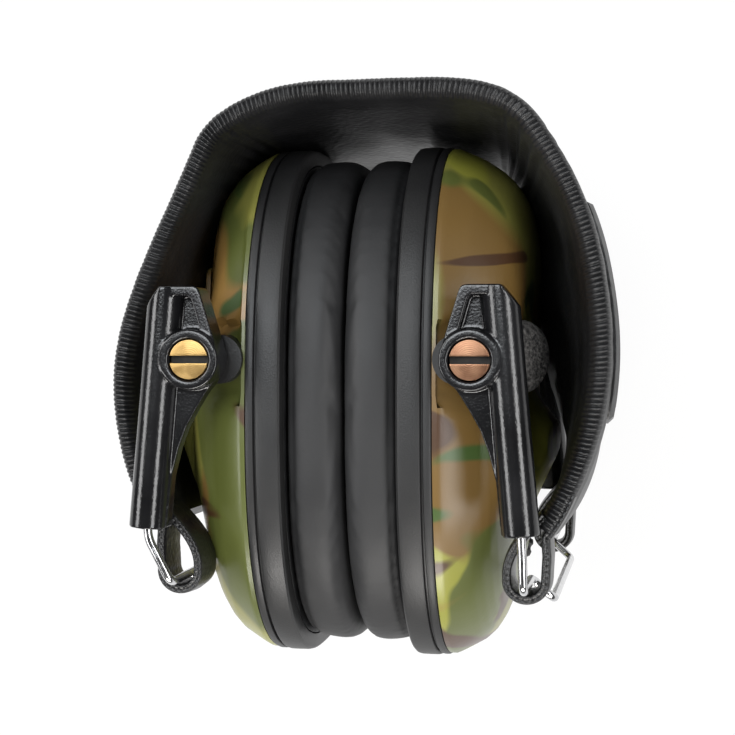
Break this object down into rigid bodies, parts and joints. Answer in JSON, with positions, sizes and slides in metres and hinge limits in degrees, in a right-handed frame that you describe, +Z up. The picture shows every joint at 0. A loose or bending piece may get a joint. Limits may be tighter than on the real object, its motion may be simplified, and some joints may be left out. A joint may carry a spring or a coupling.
{
  "type": "folding electronic earmuff",
  "caption": "Folding electronic earmuff with a padded headband, wire yokes in pivoting arms, and two oval cups with soft cushions, stored folded on its back.",
  "frame": {"origin": "centre of the footprint, on the surface that the rear arms rest on", "axes": "+X towards the right-hand cup as seen from the front arms, +Y towards the crown of the headband, +Z up towards the front arms"},
  "size_m": [0.0908, 0.1072, 0.093],
  "materials": {
    "band_cover": "fine-grained imitation leather, satin",
    "strap": "folded strap, satin",
    "spring_steel": "rolled spring steel",
    "wire": "polished steel wire",
    "arm_plastic": "moulded, high gloss",
    "screw_brass": "turned, slightly tarnished",
    "bracket_plastic": "moulded, satin",
    "shell_camouflage": "printed camouflage under satin lacquer",
    "ring_plastic": "moulded, satin",
    "cushion_cover": "smooth soft imitation leather",
    "foam": "open-cell foam",
    "speaker_housing": "moulded",
    "plated_metal": "plated",
    "board": "solder mask",
    "cell_jacket": "shrink film"
  },
  "bodies": {
    "crown": {"sleeve_crown": "band_cover", "spring_crown": "spring_steel", "shoulder_left": "band_cover", "shoulder_right": "band_cover"},
    "band_left": {"sleeve_left": "band_cover", "spring_left": "spring_steel", "side_pad_left": "band_cover", "strap_loop_left": "strap"},
    "band_right": {"sleeve_right": "band_cover", "spring_right": "spring_steel", "side_pad_right": "band_cover", "strap_loop_right": "strap"},
    "yoke_left": {"wire_yoke_left": "wire"},
    "yoke_right": {"wire_yoke_right": "wire"},
    "arms_left": {"arm_front_left": "arm_plastic", "arm_rear_left": "arm_plastic"},
    "arms_right": {"arm_front_right": "arm_plastic", "arm_rear_right": "arm_plastic"},
    "cup_left": {"pivot_screws_left": "screw_brass", "pivot_brackets_left": "bracket_plastic", "cup_shell_left": "shell_camouflage", "base_ring_left": "ring_plastic", "cushion_left": "cushion_cover", "cushion_plate_left": "ring_plastic", "ear_foam_left": "foam", "speaker_left": "speaker_housing", "mic_capsule_left": "plated_metal", "mic_windscreen_left": "foam", "batteries": "cell_jacket", "battery_contacts": "plated_metal", "case_screws_left": "plated_metal"},
    "cup_right": {"pivot_screws_right": "screw_brass", "pivot_brackets_right": "bracket_plastic", "cup_shell_right": "shell_camouflage", "base_ring_right": "ring_plastic", "cushion_right": "cushion_cover", "cushion_plate_right": "ring_plastic", "ear_foam_right": "foam", "speaker_right": "speaker_housing", "mic_capsule_right": "plated_metal", "mic_windscreen_right": "foam", "circuit_board": "board", "audio_socket": "bracket_plastic", "case_screws_right": "plated_metal"},
    "battery_door": {"battery_door": "shell_camouflage"},
    "volume_knob": {"volume_knob": "bracket_plastic"}
  },
  "joints": [
    {"name": "band_opening", "type": "hinge", "parent": "crown", "child": "band_right", "pos_m": [0.0285, 0.0438, 0.0465], "axis": [0, 0, 1], "range_deg": [0, 49], "deforming": ["shoulder_left", "shoulder_right", "cushion_left", "cushion_right"]},
    {"name": "band_flex_left", "type": "hinge", "parent": "crown", "child": "band_left", "pos_m": [-0.0285, 0.0438, 0.0465], "axis": [0, 0, 1], "range_deg": [-49, 0]},
    {"name": "fold_right", "type": "hinge", "parent": "band_right", "child": "yoke_right", "pos_m": [0.0313, -0.0349, 0.0465], "axis": [0, 0, 1], "range_deg": [0, 106.83]},
    {"name": "fold_left", "type": "hinge", "parent": "band_left", "child": "yoke_left", "pos_m": [-0.0313, -0.0349, 0.0465], "axis": [0, 0, 1], "range_deg": [-113.3, 0]},
    {"name": "height_right", "type": "slide", "parent": "yoke_right", "child": "arms_right", "axis": [-0.0872, 0.9962, 0], "range_m": [0, 0.004]},
    {"name": "height_left", "type": "slide", "parent": "yoke_left", "child": "arms_left", "axis": [0.0872, 0.9962, 0], "range_m": [0, 0.004]},
    {"name": "cup_pivot_right", "type": "hinge", "parent": "arms_right", "child": "cup_right", "pos_m": [0.0224, 0.0047, 0.0465], "axis": [0, 0, 1], "range_deg": [-155.83, 0]},
    {"name": "cup_pivot_left", "type": "hinge", "parent": "arms_left", "child": "cup_left", "pos_m": [-0.027, 0.0047, 0.0465], "axis": [0, 0, 1], "range_deg": [0, 162.3]},
    {"name": "volume", "type": "hinge", "parent": "cup_right", "child": "volume_knob", "pos_m": [0.0189, -0.03465, 0.01838], "axis": [0.4636, -0.3746, -0.803], "range_deg": [0, 270]},
    {"name": "battery_door_slide", "type": "slide", "parent": "cup_left", "child": "battery_door", "axis": [0, 0, -1], "range_m": [0, 0.012]}
  ],
  "couplings": [
    {"joint": "band_flex_left", "follows": "band_opening", "ratio": -1},
    {"joint": "fold_right", "follows": "band_opening", "ratio": 2.1803},
    {"joint": "fold_left", "follows": "band_opening", "ratio": -2.3123},
    {"joint": "height_right", "follows": "band_opening", "m_per_rad": 0.00468},
    {"joint": "height_left", "follows": "band_opening", "m_per_rad": 0.00468},
    {"joint": "cup_pivot_right", "follows": "band_opening", "ratio": -3.1803},
    {"joint": "cup_pivot_left", "follows": "band_opening", "ratio": 3.3123}
  ]
}
